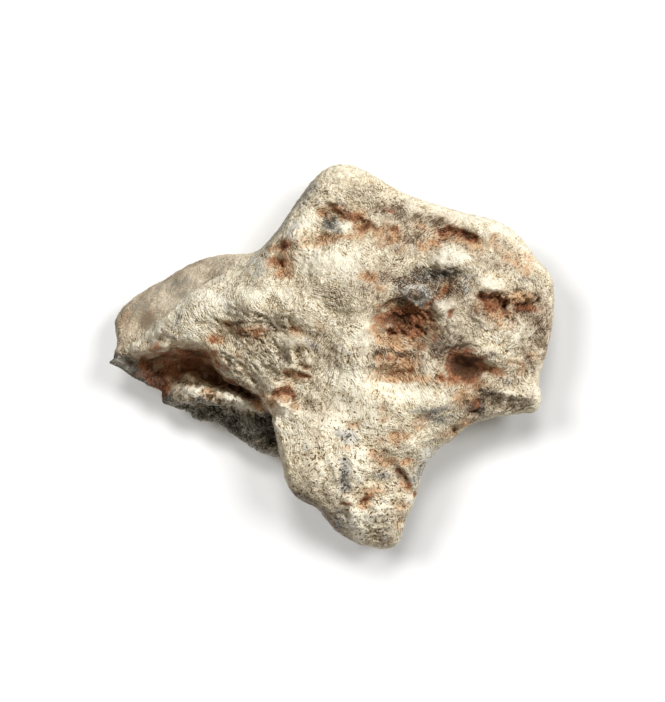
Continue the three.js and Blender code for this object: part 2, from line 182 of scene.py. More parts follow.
stoneShape = {
    "voxel": 0.199,
    "margin": 0.002,  # kept free inside the solid's box
    "rounding": 8,  # smoothing passes that take the solid's facets away
    "softPasses": 130,  # and those that soften its plain pits
    "wander": [(1.6, 0.26), (0.6, 0.2)],  # how far the edges of the forms stray: wavelength, reach
    # how strengths change along a form, and along a thin line: wavelength, reach, then the middle and ends
    "uneven": (0.9, 0.8),
    "broken": (1.1, 1.8, 0.85, (0.1, 1.3)),
    "flakeBend": (2.0, 0.6),  # how the rows of flakes bend: wavelength, and reach in widths of a flake
    "brinkSoftness": (-0.15, 0.05),  # where a level starts and is whole, from its brink
    "edgeSoftness": 0.18,
    "lineEnds": (-0.02, 0.15),  # how a line tapers, as a share of it from either end
    # how far a face has to look up to be worked on at all, and in full
    "facing": {"carved": (-0.1, 0.35), "flaked": (0.0, 0.4), "worn": (0.0, 0.3), "painted": (-0.2, 0.3)},
    # how rough the crust is: on plain ground, more in hollows of this spread, less on the far sides
    "crumbly": {"plain": 0.5, "inHollows": 0.4, "spread": 1.2, "lessBehind": 0.4, "levels": 10},
    "farSides": {"facing": (0.5, 0.1), "y": (-3.0, -1.0)},
    # smoothing passes, and the depth below the smoothed surface that counts as deep; the crust is painted
    # darker there as shade
    "creases": (4, 0.16),
    "hollows": (36, 1.2),
    "lumps": {"size": 1.7, "height": 0.48},
    "crust": {"size": 0.72, "height": 0.38},
    "grain": {"size": 0.36, "height": 0.22},
    # x, y, half-length, half-width, turn, height there, slope along X and Y, how far it takes over, its brink
    "levels": [
        (6.4, 3.0, 3.1, 2.6, -8, 15.5, -0.12, 0.22, 0.72, []),
        (12.0, -0.3, 2.0, 1.8, -8, 14.2, 0.0, 0.4, 0.65, []),
        (14.6, 5.2, 1.8, 1.0, -10, 14.5, -0.4, 0.3, 0.7, []),
        (-12.2, 3.4, 3.5, 1.9, 30, 13.2, 0.2, 0.05, 0.8, []),
        (-3.4, -8.3, 5.2, 3.2, -80, 14.6, 0.14, 0.18, 1.0, tongueBrink),
        (-4.6, -5.4, 1.3, 0.9, -70, 15.0, 0.1, 0.1, 1.0, tongueBrink),
        (-8.4, -1.5, 2.9, 1.6, -35, 12.6, 0.15, 0.45, 0.9, slotBrink),
        (-8.4, -3.8, 3.0, 0.65, -22, 10.8, 0.1, 0.2, 0.85, []),
        (-12.9, -3.1, 2.3, 0.8, -8, 9.6, 0.35, 0.05, 0.7, []),
    ],
    # x, y, half-length, half-width, turn, rise, squareness: 2 is a soft bell, 5 has walls
    "forms": [
        # left shoulder of the plateau with its rusty hollow, and broad swells round it
        (-5.0, 8.9, 3.6, 2.1, 62, 2.1, 2.5), (-5.5, 5.4, 3.4, 2.6, 20, 0.6, 2),
        (-4.6, 3.6, 1.7, 0.9, -10, 0.4, 2), (1.6, -2.4, 2.2, 0.8, 0, 0.3, 2),
        (-7.0, 1.5, 3.4, 1.7, 0, 0.6, 2), (-2.6, 10.6, 1.6, 1.2, 40, 0.6, 2),
        (-4.3, 9.8, 0.7, 0.5, 0, -0.6, 2), (-4.7, 8.3, 0.5, 0.5, 0, -0.5, 2),
        (-4.2, 9.0, 0.6, 0.25, 0, 0.3, 2), (-4.3, 7.4, 0.6, 0.4, 0, -0.2, 2),
        # small pebble below the peak, the gutter round it, and more broad swells
        (0.5, 11.6, 1.1, 0.8, 15, 0.8, 3), (-0.7, 12.5, 0.8, 0.4, -45, -0.4, 2),
        (-0.4, 10.4, 1.3, 0.4, 5, -0.3, 2), (2.4, 11.4, 1.0, 0.5, 40, -0.4, 2),
        (1.0, 13.3, 0.9, 0.4, -30, 0.3, 2), (4.9, 10.5, 1.0, 0.6, -15, -0.25, 2),
        (3.6, 12.9, 1.6, 0.5, -8, -0.3, 2), (0.8, 15.6, 1.6, 0.9, 0, 0.25, 2),
        (-6.6, 4.2, 1.6, 1.6, 0, 0.6, 2), (1.0, -3.0, 1.8, 0.9, 0, 0.45, 2),
        (1.2, -14.6, 1.0, 1.4, 0, 0.5, 2), (-12.6, -1.7, 0.7, 0.4, -20, 1.2, 2),
        # plateau
        (-0.4, 8.3, 1.8, 1.0, 0, 0.15, 2), (3.2, 7.1, 0.5, 0.35, 0, -0.2, 2),
        (5.6, 8.6, 0.7, 0.4, 0, -0.2, 2),
        # upper rim and the nose
        (10.8, 12.1, 2.4, 0.6, -15, 0.25, 2), (8.7, 9.9, 0.7, 0.4, 10, -0.3, 2),
        (11.4, 10.1, 1.3, 0.3, -12, 0.2, 2), (10.4, 8.6, 1.6, 0.9, 8, 0.4, 2.5),
        (9.4, 9.2, 0.5, 0.4, 0, 0.3, 2), (12.6, 8.6, 0.9, 0.9, 0, 0.2, 2), (9.8, 7.8, 1.4, 0.4, 3, 0.3, 2),
        (9.7, 6.8, 1.5, 0.5, 5, -0.3, 2), (9.9, 7.3, 0.3, 0.4, 0, -0.4, 2), (9.0, 7.4, 0.3, 0.4, 0, -0.4, 2),
        (10.7, 7.3, 0.3, 0.4, 0, -0.3, 2), (7.8, 6.9, 1.9, 0.8, 12, -0.5, 2),
        (12.1, 6.7, 0.7, 0.8, 0, -0.3, 2), (14.6, 10.6, 0.35, 0.3, -30, -0.3, 2),
        (15.6, 9.4, 1.2, 0.5, -35, -0.3, 2), (14.3, 8.6, 1.0, 0.4, -20, 0.25, 2),
        # big pit, with crumbs in it and the dark pebble on its brink
        (6.3, 3.3, 1.3, 0.8, -8, -0.2, 2), (7.3, 5.15, 1.0, 0.75, -15, 0.65, 3),
        (8.6, 4.0, 0.3, 0.8, 0, -0.4, 2), (5.9, 3.5, 1.2, 0.4, -5, -0.4, 2),
        (7.2, 3.1, 0.55, 0.35, 20, 0.5, 3), (7.9, 2.4, 0.5, 0.5, 0, -0.5, 2),
        (6.2, 2.5, 0.4, 0.3, 0, 0.25, 2), (5.2, 2.9, 0.4, 0.3, 0, 0.25, 2),
        (5.0, 2.3, 0.35, 0.25, 0, -0.45, 2), (7.0, 1.7, 0.8, 0.3, -25, -0.3, 2),
        (9.8, 4.5, 0.9, 0.6, -10, 0.35, 3), (10.8, 3.0, 0.9, 0.6, 0, 0.2, 2),
        (9.6, 1.2, 1.5, 0.7, -5, -0.2, 2), (5.9, 0.7, 0.8, 0.35, 5, 0.4, 2),
        (3.9, 0.1, 0.6, 0.3, 10, -0.3, 2), (5.7, -1.0, 1.7, 0.8, 0, -0.2, 2),
        (8.6, -0.9, 0.9, 0.7, -20, 0.3, 3),
        # right pit and its tail
        (12.0, -0.8, 1.2, 0.9, -10, -0.5, 2), (12.2, 0.5, 1.7, 0.7, -8, 1.0, 2.5),
        (13.9, -1.2, 1.0, 0.3, -8, -0.3, 2), (14.0, -0.3, 1.1, 0.4, -20, 0.3, 2),
        (11.7, -2.2, 1.2, 0.3, -8, 0.2, 2),
        # trench
        (14.5, 5.9, 1.2, 0.3, -5, 0.3, 2), (14.3, 4.6, 0.6, 0.5, 0, -0.8, 2),
        (13.9, 5.3, 0.5, 0.2, -10, -0.6, 2), (15.3, 4.4, 0.3, 0.5, 0, -0.7, 2),
        (16.0, 5.2, 0.6, 0.35, 0, 0.4, 2), (17.0, 4.5, 0.9, 0.35, -5, -0.6, 2),
        (17.6, 5.3, 0.5, 0.35, -20, 0.3, 2), (18.4, 4.7, 0.3, 0.5, 20, -0.3, 2),
        (14.2, 3.75, 0.7, 0.25, 5, 0.35, 2), (13.0, 3.4, 0.7, 0.25, -50, 0.7, 3),
        (15.8, 2.6, 1.6, 0.4, 5, 0.2, 2), (17.6, 1.6, 1.2, 0.4, 20, -0.2, 2),
        (16.2, 0.6, 1.3, 0.4, -10, -0.2, 2),
        # lower right edge
        (12.8, -4.3, 0.5, 0.8, -10, -0.8, 2.5), (12.9, -5.1, 0.3, 0.3, 0, -0.4, 2),
        (14.6, -4.2, 0.9, 0.5, 0, -0.35, 2), (16.3, -4.5, 0.8, 0.4, -10, -0.35, 2),
        (15.4, -3.3, 0.7, 0.35, 0, 0.3, 2), (11.0, -6.5, 0.3, 0.3, 0, -0.8, 2),
        (18.3, -3.2, 0.8, 0.9, 0, 0.35, 2), (17.2, -1.6, 0.6, 0.5, 0, -0.25, 2),
        # saddle and the folded ground below it
        (-7.4, 2.4, 2.2, 0.7, -5, 0.3, 2), (-10.3, 1.7, 0.35, 0.3, 0, -0.5, 2),
        (-3.1, 2.5, 0.5, 0.3, -30, -0.35, 2), (-3.6, 1.5, 1.5, 0.5, -10, 0.45, 3),
        (-3.7, 0.6, 0.3, 0.6, 0, 0.45, 2), (-4.4, 0.2, 0.4, 0.4, 0, -0.35, 2),
        (-2.3, -0.2, 0.5, 0.5, 0, 0.55, 3), (-1.2, 0.9, 0.7, 0.4, -30, 0.2, 2),
        # root of the tongue
        (-4.4, -3.9, 1.4, 0.9, -45, 1.3, 2), (-3.5, -4.2, 0.4, 0.35, 0, -0.3, 2),
        (-1.8, -3.4, 0.9, 0.5, -30, 0.25, 3),
        # wing
        (-14.6, 5.7, 4.8, 1.1, 35.5, 1.3, 3.5), (-12.3, 4.4, 3.0, 1.5, 38, 0.9, 2.5),
        (-9.5, 5.6, 2.6, 1.8, 30, 0.5, 2), (-16.3, 0.7, 1.5, 0.5, 5, 1.0, 3),
        # recess under the lip, with a nub in it
        (-12.5, -1.5, 0.35, 0.5, 0, 0.9, 2.5), (-15.6, -1.4, 1.4, 0.7, -8, -0.8, 2),
        (-13.6, -0.6, 1.0, 0.6, 0, -0.5, 2), (-14.6, 0.2, 0.3, 0.8, 10, 0.6, 2),
        (-13.3, 0.1, 0.3, 0.7, 0, 0.5, 2), (-16.6, -0.8, 0.5, 0.4, 0, 0.5, 2),
        (-11.2, -1.4, 0.6, 0.4, -30, -0.5, 2),
        # tongue
        (-0.6, -10.8, 1.4, 2.4, 5, 0.4, 2), (0.4, -13.0, 3.6, 2.2, -10, 1.0, 2),
        (1.9, -6.0, 0.6, 0.3, 0, -0.25, 2), (1.2, -6.7, 0.6, 0.5, 0, 0.15, 2),
        (2.2, -9.2, 1.1, 1.2, 0, 0.25, 3), (4.4, -8.8, 0.8, 0.8, 0, -0.15, 2),
        (4.3, -10.4, 0.9, 0.6, 0, 0.15, 2), (4.7, -5.0, 0.35, 0.5, 0, -0.3, 2),
        (6.0, -7.0, 0.8, 0.4, 0, -0.2, 2), (2.8, -13.2, 0.5, 0.35, 10, -0.15, 2),
        (6.3, -13.3, 0.3, 0.25, 0, -0.35, 2), (6.1, -14.7, 0.3, 0.5, 0, -0.3, 2),
        (8.0, -9.9, 2.0, 0.5, 64, 0.3, 2),
        # ledge
        (-12.8, -3.3, 1.2, 0.5, -5, 0.35, 2), (-8.2, -6.4, 2.6, 0.9, -38, -0.8, 2),
        (-12.4, -4.9, 1.6, 0.4, -15, -0.5, 2),
    ],
    # x, y, reach, and how far the edge there is pulled along X and Y
    "pulls": [
        (-19.9, -0.65, 0.6, -0.4, 0.0), (-19.3, 1.3, 0.9, 0.15, 0.0), (-19.3, -1.9, 0.7, 0.1, 0.25),
        (6.0, -17.0, 1.0, 0.35, -0.1),
    ],
    # where the wing's point is, the length it thins over, how much, and how far out along Y
    "tip": (-20.05, -0.6, 1.3, 0.75, 1.2),
    # half-width, rise, and the points that a crack or a seam runs through
    "lines": [
        (0.25, -0.8, tongueCrack),
        (0.15, -0.35, tipSeam),
        (0.35, -0.25, tongueFurrow),
        (0.15, -0.5, bridgeCrack),
        (0.35, -0.35, pitGutter),
        (0.18, -0.3, [(5.5, 2.9), (6.6, 2.2), (7.6, 1.7), (8.2, 1.2)]),
        (0.2, -0.35, shelfCrack),
        (0.3, -0.3, [(9.3, 11.0), (9.8, 11.2), (10.6, 11.3), (11.5, 11.1), (12.4, 10.8), (13.2, 10.1)]),
        (0.18, -0.2, trenchSeam),
        (0.2, -0.25, peakGutter),
        (0.2, -0.2, rimGutter),
        (0.2, -0.3, [(1.4, 13.6), (3.5, 13.5), (4.6, 13.2), (5.7, 12.7)]),
        (0.3, -0.8, [(-11.6, -1.8), (-10.4, -2.3), (-9.3, -2.6), (-8.2, -3.0), (-7.2, -3.4), (-6.0, -3.9)]),
        (0.22, -0.45, rootSeam),
        (0.18, -0.3, saddleCrack),
        (0.15, -0.3, [(-7.0, 3.1), (-6.1, 2.8)]),
        (0.15, 0.4, [(-3.6, 0.7), (-3.4, -0.2), (-3.0, -0.7)]),
        (0.15, -0.3, [(-3.0, -0.6), (-2.6, -1.0), (-1.5, -1.0)]),
        (0.2, 0.3, [(-4.5, -0.9), (-3.2, -1.2), (-2.0, -1.3)]),
        (0.18, -0.35, foldCrack),
        (0.18, -0.3, [(-2.2, -3.0), (-1.2, -3.4), (-0.4, -4.1)]),
        (0.15, -0.25, wingCrack),
    ],
    # how far the high side rises and the low side falls, their reach, and the edge's points:
    # the high side is on the left of the way they run
    "edges": [
        (0.25, 0.2, 0.6, [(-18.9, 0.4), (-18.0, 0.9), (-17.2, 1.3), (-16.4, 1.6), (-15.5, 1.9),
                          (-14.6, 2.0)]),
        (0.2, 1.7, 1.0, [(-18.0, 0.0), (-17.0, 0.2), (-16.0, 0.1), (-15.2, 0.3), (-14.6, 1.0), (-13.6, 1.3),
                         (-12.4, 1.1), (-11.4, 0.8), (-10.7, 0.1), (-10.2, -0.7)]),
        (0.3, 0.2, 0.6, wingRidge[1:-1]),
        (0.2, 1.3, 1.0, [(-14.6, -3.9), (-13.0, -4.1), (-11.0, -4.0), (-9.0, -4.4), (-8.0, -4.5),
                         (-6.5, -5.1), (-5.6, -5.7)]),
        (0.1, 2.5, 0.8, [(-5.6, -4.6), (-5.3, -5.4), (-5.1, -6.0), (-4.8, -7.0), (-4.7, -8.3)]),
        (0.25, 0.2, 1.2, [(9.0, 10.9), (9.8, 11.3), (10.6, 11.4), (11.5, 11.2), (12.4, 10.9), (13.3, 10.2)]),
        (0.3, 0.25, 1.2, [(-1.1, 14.1), (0.0, 13.6), (1.0, 12.6), (2.9, 11.9), (3.8, 11.6),
                          (5.0, 11.5), (6.4, 11.0)]),
        (0.3, 0.15, 0.9, [(13.1, 5.4), (14.2, 5.6), (15.5, 6.0), (17.0, 6.2), (18.0, 5.7), (19.0, 4.7)]),
        (0.2, 0.4, 1.2, [(12.8, -3.0), (14.0, -3.3), (16.0, -3.6), (17.5, -3.9), (18.4, -4.4)]),
        (0.1, 0.4, 1.0, [(1.2, -13.2), (1.5, -14.7), (1.9, -16.6)]),
        (0.25, 0.15, 0.9, tongueCrack),
        (0.1, 0.2, 0.8, [(-1.6, -13.3), (0.2, -13.4), (2.2, -12.9), (4.4, -12.1)]),
        (0.15, 0.35, 0.8, [(7.3, -12.2), (7.1, -10.8), (7.3, -9.6), (7.8, -8.2), (8.4, -7.4), (9.4, -6.9)]),
        (0.15, 0.15, 0.8, [(3.7, 0.2), (5.2, 0.0), (6.6, 0.2), (7.5, -0.2)]),
        *[(0.15, 0.15, 0.4, fold) for fold in saddleFolds],
    ],
    # x, y, half-length, half-width, turn, the flakes' own turn, length, width and height
    "flakes": [
        (-6.6, -0.2, 3.8, 2.6, -20, -38, 1.3, 0.32, 0.24), (-12.0, 3.4, 3.2, 1.8, 35, -55, 1.8, 0.25, 0.08),
        (-6.8, 2.8, 3.2, 1.0, 0, -15, 1.0, 0.35, 0.25), (0.0, 0.0, 3.0, 3.0, 0, 70, 1.2, 0.32, 0.12),
        (15.5, 1.5, 3.5, 2.0, 0, 10, 1.6, 0.35, 0.2), (6.6, 2.8, 2.4, 1.8, 0, -35, 0.9, 0.32, 0.35),
        (15.6, 4.8, 2.8, 1.0, 0, 40, 0.7, 0.3, 0.35), (1.5, 13.3, 4.5, 1.4, -15, -20, 1.3, 0.35, 0.22),
        (-10.0, -3.4, 4.0, 0.8, -15, 20, 0.7, 0.28, 0.35), (-9.5, -5.4, 4.6, 1.4, -20, -50, 0.8, 0.32, 0.35),
        (3.5, -14.5, 2.8, 2.6, 0, 60, 0.7, 0.3, 0.2),
    ],
    # x, y, half-length, half-width, turn, strength: where the solid's plain pits are softened first
    "softened": [
        (6.6, 2.8, 3.2, 2.8, 0, 0.9), (12.6, -0.6, 2.6, 2.0, -15, 0.85), (14.6, 4.6, 2.2, 1.4, 0, 0.7),
        (10.6, 10.9, 3.0, 1.2, -15, 0.7), (9.8, 7.2, 2.6, 1.0, 5, 0.5), (-4.6, 8.7, 1.6, 2.2, 0, 0.4),
        (-6.6, 2.2, 3.4, 1.6, 0, 0.6),
    ],
    # the same, where the crust is worn smooth
    "worn": [
        (-3.7, 1.5, 1.4, 0.5, -10, 0.9), (-3.8, 0.6, 0.8, 0.8, 0, 0.6), (-2.3, -0.2, 0.6, 0.5, 0, 0.5),
        (-15.2, 5.4, 6.0, 1.9, 38, 0.6), (-14.6, -0.8, 3.4, 1.8, -8, 0.7), (-18.2, -1.1, 2.3, 0.9, -20, 0.95),
        (-15.6, -2.4, 1.6, 0.9, -30, 0.7), (12.0, -0.8, 1.8, 1.2, -8, 0.8), (9.6, 1.2, 1.8, 0.8, -5, 0.4),
        (12.0, 0.4, 1.6, 0.9, 0, 0.4), (-0.4, 8.3, 2.2, 1.2, 0, 0.4), (0.6, -4.6, 3.4, 2.0, 0, 0.5),
        (-2.8, -8.0, 1.4, 3.0, 15, 0.3), (7.0, -3.4, 4.0, 1.0, -6, 0.5), (10.6, 12.8, 4.0, 0.8, -16, 0.4),
        (1.0, 16.0, 2.0, 1.2, 0, 0.3), (7.2, 5.2, 1.0, 0.8, 0, 0.5),
    ],
}


def copyOfNode(node, name):
    deselectAll()
    source = frame["nodes"][node]
    source.select_set(True)
    bpy.context.view_layer.objects.active = source
    bpy.ops.object.duplicate()
    copy = bpy.context.active_object
    copy.name = name
    for key in list(copy.keys()):  # the copy is no node of the solid
        del copy[key]
    bpy.ops.object.parent_clear(type="CLEAR_KEEP_TRANSFORM")
    bpy.ops.object.mode_set(mode="EDIT")
    bpy.ops.mesh.select_all(action="SELECT")
    bpy.ops.mesh.remove_doubles(threshold=1e-6)
    bpy.ops.object.mode_set(mode="OBJECT")
    return copy


def applied(piece, kind, settings):
    modifier = piece.modifiers.new(kind.title(), kind)
    for name, value in settings.items():
        setattr(modifier, name, value)
    bpy.context.view_layer.objects.active = piece
    bpy.ops.object.modifier_apply(modifier=modifier.name)


def remeshed(piece, voxel, passes):  # in even faces, then smoothed
    applied(piece, "REMESH", {"mode": "VOXEL", "voxel_size": voxel * mm, "use_smooth_shade": True})
    applied(piece, "SMOOTH", {"factor": 0.5, "iterations": passes})


def roughen(piece, name, noiseType="SOFT_NOISE"):
    sizes = stoneShape[name]
    texture = bpy.data.textures.new(name, "CLOUDS")
    texture.noise_scale = sizes["size"] * mm
    texture.noise_depth = 1
    texture.noise_type = noiseType
    settings = {"texture": texture, "strength": sizes["height"] * mm, "vertex_group": "crumbly"}
    applied(piece, "DISPLACE", settings)


def smoothStep(values, low, high):
    t = np.clip((values - low) / (high - low), 0, 1)
    return t * t * (3 - 2 * t)


class Points:  # a mesh's vertices as arrays, in mm
    def __init__(self, piece):
        self.mesh = piece.data
        count = len(self.mesh.vertices)
        flat = np.empty(count * 3, np.float32)
        self.mesh.vertices.foreach_get("co", flat)
        self.at = flat.reshape(-1, 3).astype(float) / mm
        self.mesh.vertex_normals.foreach_get("vector", flat)
        self.normal = flat.reshape(-1, 3).astype(float)
        ends = np.empty(len(self.mesh.edges) * 2, np.int32)
        self.mesh.edges.foreach_get("vertices", ends)
        self.ends = ends.reshape(-1, 2)
        self.degree = np.bincount(ends, minlength=count)
        self.x = self.at[:, 0].copy()
        self.y = self.at[:, 1].copy()
        for size, reach in stoneShape["wander"]:  # strayed a little, so that no form has a drawn edge
            self.x += reach * self.waves(size)
            self.y += reach * self.waves(size, (9, 3, 5))
        size, reach = stoneShape["uneven"]
        self.uneven = 1 + reach * self.waves(size)
        size, reach, middle, ends = stoneShape["broken"]
        self.broken = np.clip(middle + reach * self.waves(size, (7, 2, 1)), *ends)

    def waves(self, size, shift=(0, 0, 0)):  # smooth noise about 0
        shift = Vector(shift)
        return np.array([noise.noise(Vector(p) / size + shift) for p in self.at])

    def facing(self, work):  # from 0 to 1, by how far each place looks up
        return smoothStep(self.normal[:, 2], *stoneShape["facing"][work])

    def smoothed(self, values, passes):
        a, b = self.ends.T
        count = len(values)
        for _ in range(passes):
            sums = [
                np.bincount(a, weights=c[b], minlength=count) + np.bincount(b, weights=c[a], minlength=count)
                for c in values.T
            ]
            values = 0.5 * values + 0.5 * np.stack(sums, 1) / self.degree[:, None]
        return values

    def turned(self, x, y, turn):
        a = math.radians(turn)
        along = (self.x - x) * math.cos(a) + (self.y - y) * math.sin(a)
        across = (self.y - y) * math.cos(a) - (self.x - x) * math.sin(a)
        return along, across

    def oval(self, x, y, halfLength, halfWidth, turn):  # 0 in its middle, 1 on its edge
        along, across = self.turned(x, y, turn)
        return np.hypot(along / halfLength, across / halfWidth)

    def bell(self, place, squareness=3):  # 1 in the middle of an oval, a half on its edge
        return np.exp2(-(self.oval(*place) ** squareness))

    def strongest(self, ovals, squareness=3):  # of several ovals, each with its strength last
        amount = np.zeros(len(self.x))
        for *place, strength in ovals:
            amount = np.maximum(amount, strength * self.bell(place, squareness))
        return amount

    def line(self, corners):  # distance from it, plus on its left, and a taper towards its ends
        offset = np.full(len(self.x), np.inf)
        along = np.zeros(len(self.x))
        for i, ((ax, ay), (bx, by)) in enumerate(zip(corners, corners[1:])):
            length = math.hypot(bx - ax, by - ay)
            ux, uy = (bx - ax) / length, (by - ay) / length
            dx, dy = self.x - ax, self.y - ay
            t = np.clip(dx * ux + dy * uy, 0, length)
            off = np.hypot(dx - t * ux, dy - t * uy)
            near = off < np.abs(offset)
            offset[near] = (off * np.where(ux * dy - uy * dx < 0, -1, 1))[near]
            along[near] = ((i + t / length) / (len(corners) - 1))[near]
        return offset, smoothStep(np.minimum(along, 1 - along), *stoneShape["lineEnds"])

    def flakes(self, x, y, halfLength, halfWidth, turn, lie, length, width):  # ridges that lie one way
        inside = self.bell((x, y, halfLength, halfWidth, turn))
        along, across = self.turned(0, 0, lie)
        size, reach = stoneShape["flakeBend"]
        ridge = np.zeros(len(self.x))
        for i in np.flatnonzero(inside > 0.02):  # further out they would be too low to see
            bend = reach * noise.noise(Vector((along[i] / size, across[i] / size, 4.0)))
            place = Vector((along[i] / length, across[i] / width + bend, 0.0))
            ridge[i] = 0.5 - abs(noise.noise(place)) * 2  # a sharp crest where the noise is 0
        return ridge * inside

    def keep(self):
        self.mesh.vertices.foreach_set("co", (self.at * mm).astype(np.float32).ravel())
        self.mesh.update()

    def note(self, name, values):
        layer = self.mesh.attributes.new(name, "FLOAT", "POINT")
        layer.data.foreach_set("value", np.clip(values, 0, mostPaint).astype(np.float32))


thinLine = 0.25  # half-width under which a crack is broken up along its way
longForm = 1.5  # half-length over which a form is even
mostPaint = 2  # no colour is laid on stronger than this


def carve(points):
    broad = points.smoothed(points.at, stoneShape["softPasses"])
    soften = points.strongest(stoneShape["softened"])
    points.at += soften[:, None] * (broad - points.at)
    upward = points.facing("carved")
    for *place, height, slopeX, slopeY, share, brink in stoneShape["levels"]:
        plane = height + slopeX * (points.x - place[0]) + slopeY * (points.y - place[1])
        inside = share * upward * points.bell(place)
        if brink:
            inside *= smoothStep(points.line(brink)[0], *stoneShape["brinkSoftness"])
        points.at[:, 2] += inside * (plane - points.at[:, 2])
    rise = np.zeros(len(points.x))
    for *place, height, squareness in stoneShape["forms"]:
        uneven = points.uneven if place[2] < longForm else 1
        rise += height * uneven * points.bell(place, squareness)
    for halfWidth, height, corners in stoneShape["lines"]:
        offset, taper = points.line(corners)
        broken = points.broken if height < 0 and halfWidth < thinLine else 0.5 + 0.5 * points.uneven
        rise += height * broken * taper * np.exp2(-((offset / halfWidth) ** 2))
    for height, fall, reach, corners in stoneShape["edges"]:
        offset, taper = points.line(corners)
        amount = np.where(offset > 0, height, fall) * np.tanh(offset / stoneShape["edgeSoftness"])
        rise += taper * amount * np.exp(-((offset / reach) ** 2))
    points.at[:, 2] += rise * upward
    points.keep()


def pullEdges(points):
    x0, y0 = points.at[:, 0].copy(), points.at[:, 1].copy()
    for x, y, reach, moveX, moveY in stoneShape["pulls"]:
        pull = np.exp2(-((np.hypot(x0 - x, y0 - y) / reach) ** 2))
        points.at[:, 0] += pull * moveX
        points.at[:, 1] += pull * moveY
    tipX, tipY, length, share, reach = stoneShape["tip"]
    thin = share * np.clip((tipX + length - x0) / length, 0, 1)
    thin[np.abs(y0 - tipY) > reach] = 0
    points.at[:, 1] += thin * (tipY - points.at[:, 1])
    points.keep()


def flake(points):
    rise = np.zeros(len(points.x))
    for *place, height in stoneShape["flakes"]:
        rise += height * points.flakes(*place)
    points.at += (rise * points.facing("flaked"))[:, None] * points.normal
    points.keep()


def worn(points):
    return points.strongest(stoneShape["worn"], squareness=4) * points.facing("worn")


def crumble(stone, points):  # how rough each place is, as a vertex group
    crumbly = stoneShape["crumbly"]
    rough = np.full(len(points.x), crumbly["plain"])
    for x, y, halfLength, halfWidth, turn, height, _ in stoneShape["forms"]:
        if height < 0:
            hollow = (x, y, halfLength * crumbly["spread"], halfWidth * crumbly["spread"], turn)
            rough = np.maximum(rough, crumbly["plain"] + crumbly["inHollows"] * points.bell(hollow))
    rough *= 1 - worn(points)
    far = stoneShape["farSides"]
    behind = smoothStep(points.normal[:, 2], *far["facing"]) * smoothStep(points.y, *far["y"])
    rough *= 1 - crumbly["lessBehind"] * behind
    group = stone.vertex_groups.new(name="crumbly")
    levels = crumbly["levels"]
    for level in range(1, levels + 1):
        chosen = np.flatnonzero(np.round(rough * levels) == level)
        if len(chosen):
            group.add(chosen.tolist(), level / levels, "REPLACE")


def fitToNode(points):  # back inside the solid's own box
    low, high = [np.array(corner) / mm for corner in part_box("meteorite")]
    points.at = np.clip(points.at, low + stoneShape["margin"], high - stoneShape["margin"])
    points.keep()


def noteDepth(points, name, smoothed, depth):  # 0.5 where the surface is level with the smoothed one
    points.note(name, 0.5 + np.einsum("ij,ij->i", smoothed - points.at, points.normal) / depth)


def makeStone():
    stone = copyOfNode("meteorite", "weatheredStone")
    remeshed(stone, stoneShape["voxel"], stoneShape["rounding"])
    print("stone: remeshed,", len(stone.data.polygons), "faces")
    carve(Points(stone))
    remeshed(stone, stoneShape["voxel"], 1)
    print("stone: carved,", len(stone.data.polygons), "faces")
    points = Points(stone)
    pullEdges(points)
    flake(points)
    crumble(stone, points)
    roughen(stone, "lumps")
    roughen(stone, "crust", "HARD_NOISE")
    roughen(stone, "grain")
    points = Points(stone)
    fitToNode(points)
    smoothed = points.at
    for name in ("creases", "hollows"):
        passes, depth = stoneShape[name]
        smoothed = points.smoothed(smoothed, passes)
        noteDepth(points, name, smoothed, depth)
    paint(points)
    print("stone: roughened and painted")
    return stone


